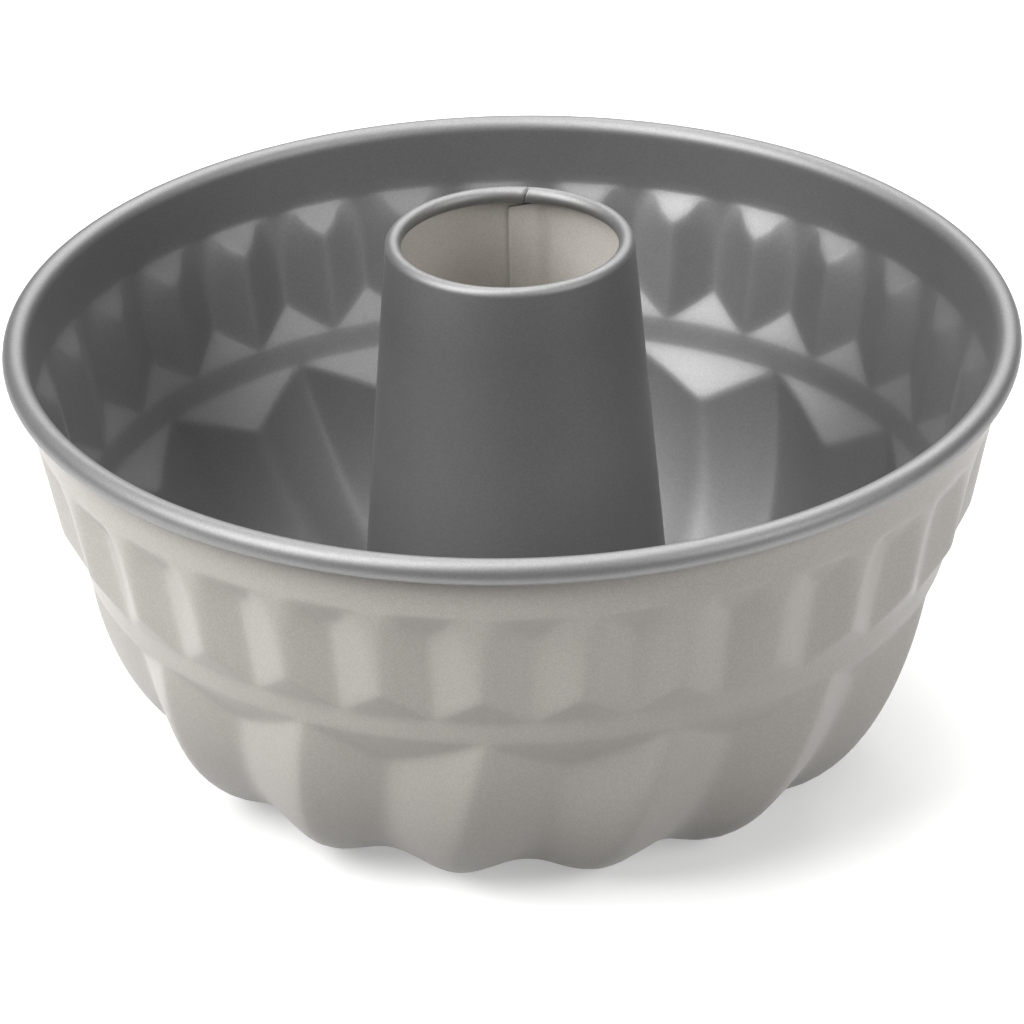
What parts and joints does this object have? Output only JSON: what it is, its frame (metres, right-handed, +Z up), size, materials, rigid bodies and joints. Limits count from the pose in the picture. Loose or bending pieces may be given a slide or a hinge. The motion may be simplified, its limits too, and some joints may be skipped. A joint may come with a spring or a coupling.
{
  "type": "fluted tube pan",
  "caption": "Round fluted cake pan of coated sheet steel with a rolled rim, two tiers of pressed flutes and an open conical centre tube, for baking ring cakes",
  "frame": {"origin": "On the pan's axis, in the plane of the pads that it stands on", "axes": "+Z up along the centre tube; -Y is the side that faces the camera in the picture, and the tube's lap seam is at the back, near +Y"},
  "size_m": [0.22, 0.22, 0.1195],
  "materials": {
    "shell_coat": "satin metallic non-stick coat on steel, warm light grey outside and dark grey inside",
    "tube_coat": "satin metallic non-stick coat on steel, dark grey outside and warm light grey inside"
  },
  "bodies": {
    "root": {"fluted_shell": "shell_coat", "centre_tube": "tube_coat"}
  },
  "joints": []
}
